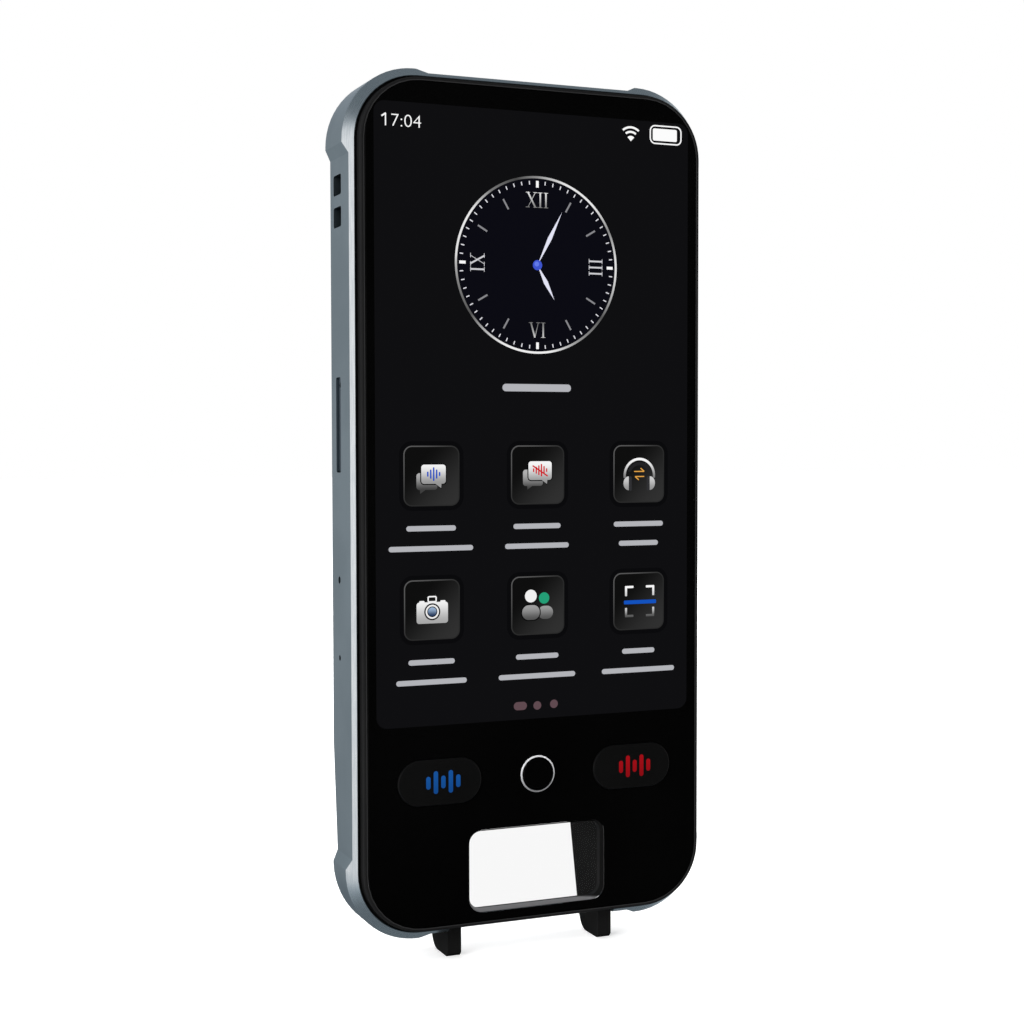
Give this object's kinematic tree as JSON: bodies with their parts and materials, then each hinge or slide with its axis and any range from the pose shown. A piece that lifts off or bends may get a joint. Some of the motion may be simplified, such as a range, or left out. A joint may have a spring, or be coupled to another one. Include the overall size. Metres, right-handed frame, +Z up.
{
  "type": "handheld translator",
  "caption": "Slim handheld translator with a tall colour screen, blue and red talk keys, a round home key and a clear window between two feet for reading print.",
  "frame": {"origin": "on the plane of the two feet, under the middle of the body's width and thickness", "axes": "+Z up along the length, screen towards -Y, card tray on the -X side"},
  "size_m": [0.0712, 0.0166, 0.1604],
  "materials": {
    "frame_metal": "bead-blasted blue-grey anodised aluminium with a bright machined chamfer",
    "tray_metal": "blue-grey anodised aluminium",
    "black_plastic": "fine satin black moulded plastic",
    "housing_plastic": "satin black moulded plastic",
    "cover_plastic": "fine matte charcoal plastic",
    "key_plastic": "satin black moulded plastic",
    "black_glass": "clear gloss glass, printed black behind",
    "clear_glass": "clear polished glass",
    "clear_pane": "clear polished acrylic",
    "black_print": "black printed border behind the glass",
    "screen": "dark liquid crystal panel",
    "white_plastic": "white moulded plastic",
    "blue_light": "blue translucent light bar",
    "red_light": "red translucent light bar",
    "bright_ring": "polished bright metal",
    "circuit_board": "green solder mask",
    "steel": "plain stainless steel",
    "mesh_steel": "black woven steel mesh",
    "shield_steel": "tinned steel sheet",
    "seal_rubber": "black foam rubber seal",
    "lamp_white": "pale yellow lamp lens",
    "battery_wrap": "dark foil pouch",
    "flex_film": "amber flexible circuit"
  },
  "bodies": {
    "casing": {"mid_frame": "frame_metal", "front_bezel": "black_plastic", "cover_glass": "black_glass", "scan_window": "clear_pane", "display_adhesive": "black_print", "display_panel": "screen", "backlight": "white_plastic", "home_ring": "bright_ring", "key_board": "circuit_board", "key_domes": "steel", "rear_cover": "cover_plastic", "cover_gasket": "seal_rubber", "speaker_mesh": "mesh_steel", "scan_housing": "housing_plastic", "scan_screws": "steel", "scan_ceiling_pane": "clear_pane", "scan_board": "circuit_board", "scan_camera": "black_plastic", "scan_lamps": "lamp_white", "main_board": "circuit_board", "board_screws": "steel", "shield_cans": "shield_steel", "battery": "battery_wrap", "battery_flex": "flex_film", "microphone": "steel", "reset_switch": "black_plastic", "usb_port": "steel", "usb_tongue": "black_plastic", "strap_cup": "black_plastic", "card_socket": "shield_steel", "side_key_board": "flex_film", "side_key_domes": "steel", "camera_module": "black_plastic", "camera_trim": "bright_ring", "camera_lens": "clear_glass", "flash_lens": "lamp_white", "speaker": "black_plastic", "vibration_motor": "steel"},
    "blue_key": {"blue_key": "key_plastic", "blue_key_bars": "blue_light"},
    "red_key": {"red_key": "key_plastic", "red_key_bars": "red_light"},
    "home_key": {"home_key": "key_plastic"},
    "power_key": {"power_key": "frame_metal"},
    "volume_key": {"volume_key": "frame_metal"},
    "card_tray": {"card_tray": "tray_metal", "nano_card": "white_plastic"}
  },
  "joints": [
    {"name": "blue_key_press", "type": "slide", "parent": "casing", "child": "blue_key", "axis": [0, 1, 0], "range_m": [0, 0.0003], "stiffness_N_per_m": 1500},
    {"name": "red_key_press", "type": "slide", "parent": "casing", "child": "red_key", "axis": [0, 1, 0], "range_m": [0, 0.0003], "stiffness_N_per_m": 1500},
    {"name": "home_key_press", "type": "slide", "parent": "casing", "child": "home_key", "axis": [0, 1, 0], "range_m": [0, 0.0003], "stiffness_N_per_m": 1500},
    {"name": "power_key_press", "type": "slide", "parent": "casing", "child": "power_key", "axis": [-1, 0, 0], "range_m": [0, 0.0003], "stiffness_N_per_m": 1500},
    {"name": "volume_key_tilt", "type": "hinge", "parent": "casing", "child": "volume_key", "pos_m": [0.03265, 0.0017, 0.1002], "axis": [0, 1, 0], "range_deg": [-1.5, 1.5], "stiffness_Nm_per_rad": 0.05},
    {"name": "card_tray_slide", "type": "slide", "parent": "casing", "child": "card_tray", "axis": [-1, 0, 0], "range_m": [0, 0.013]}
  ]
}
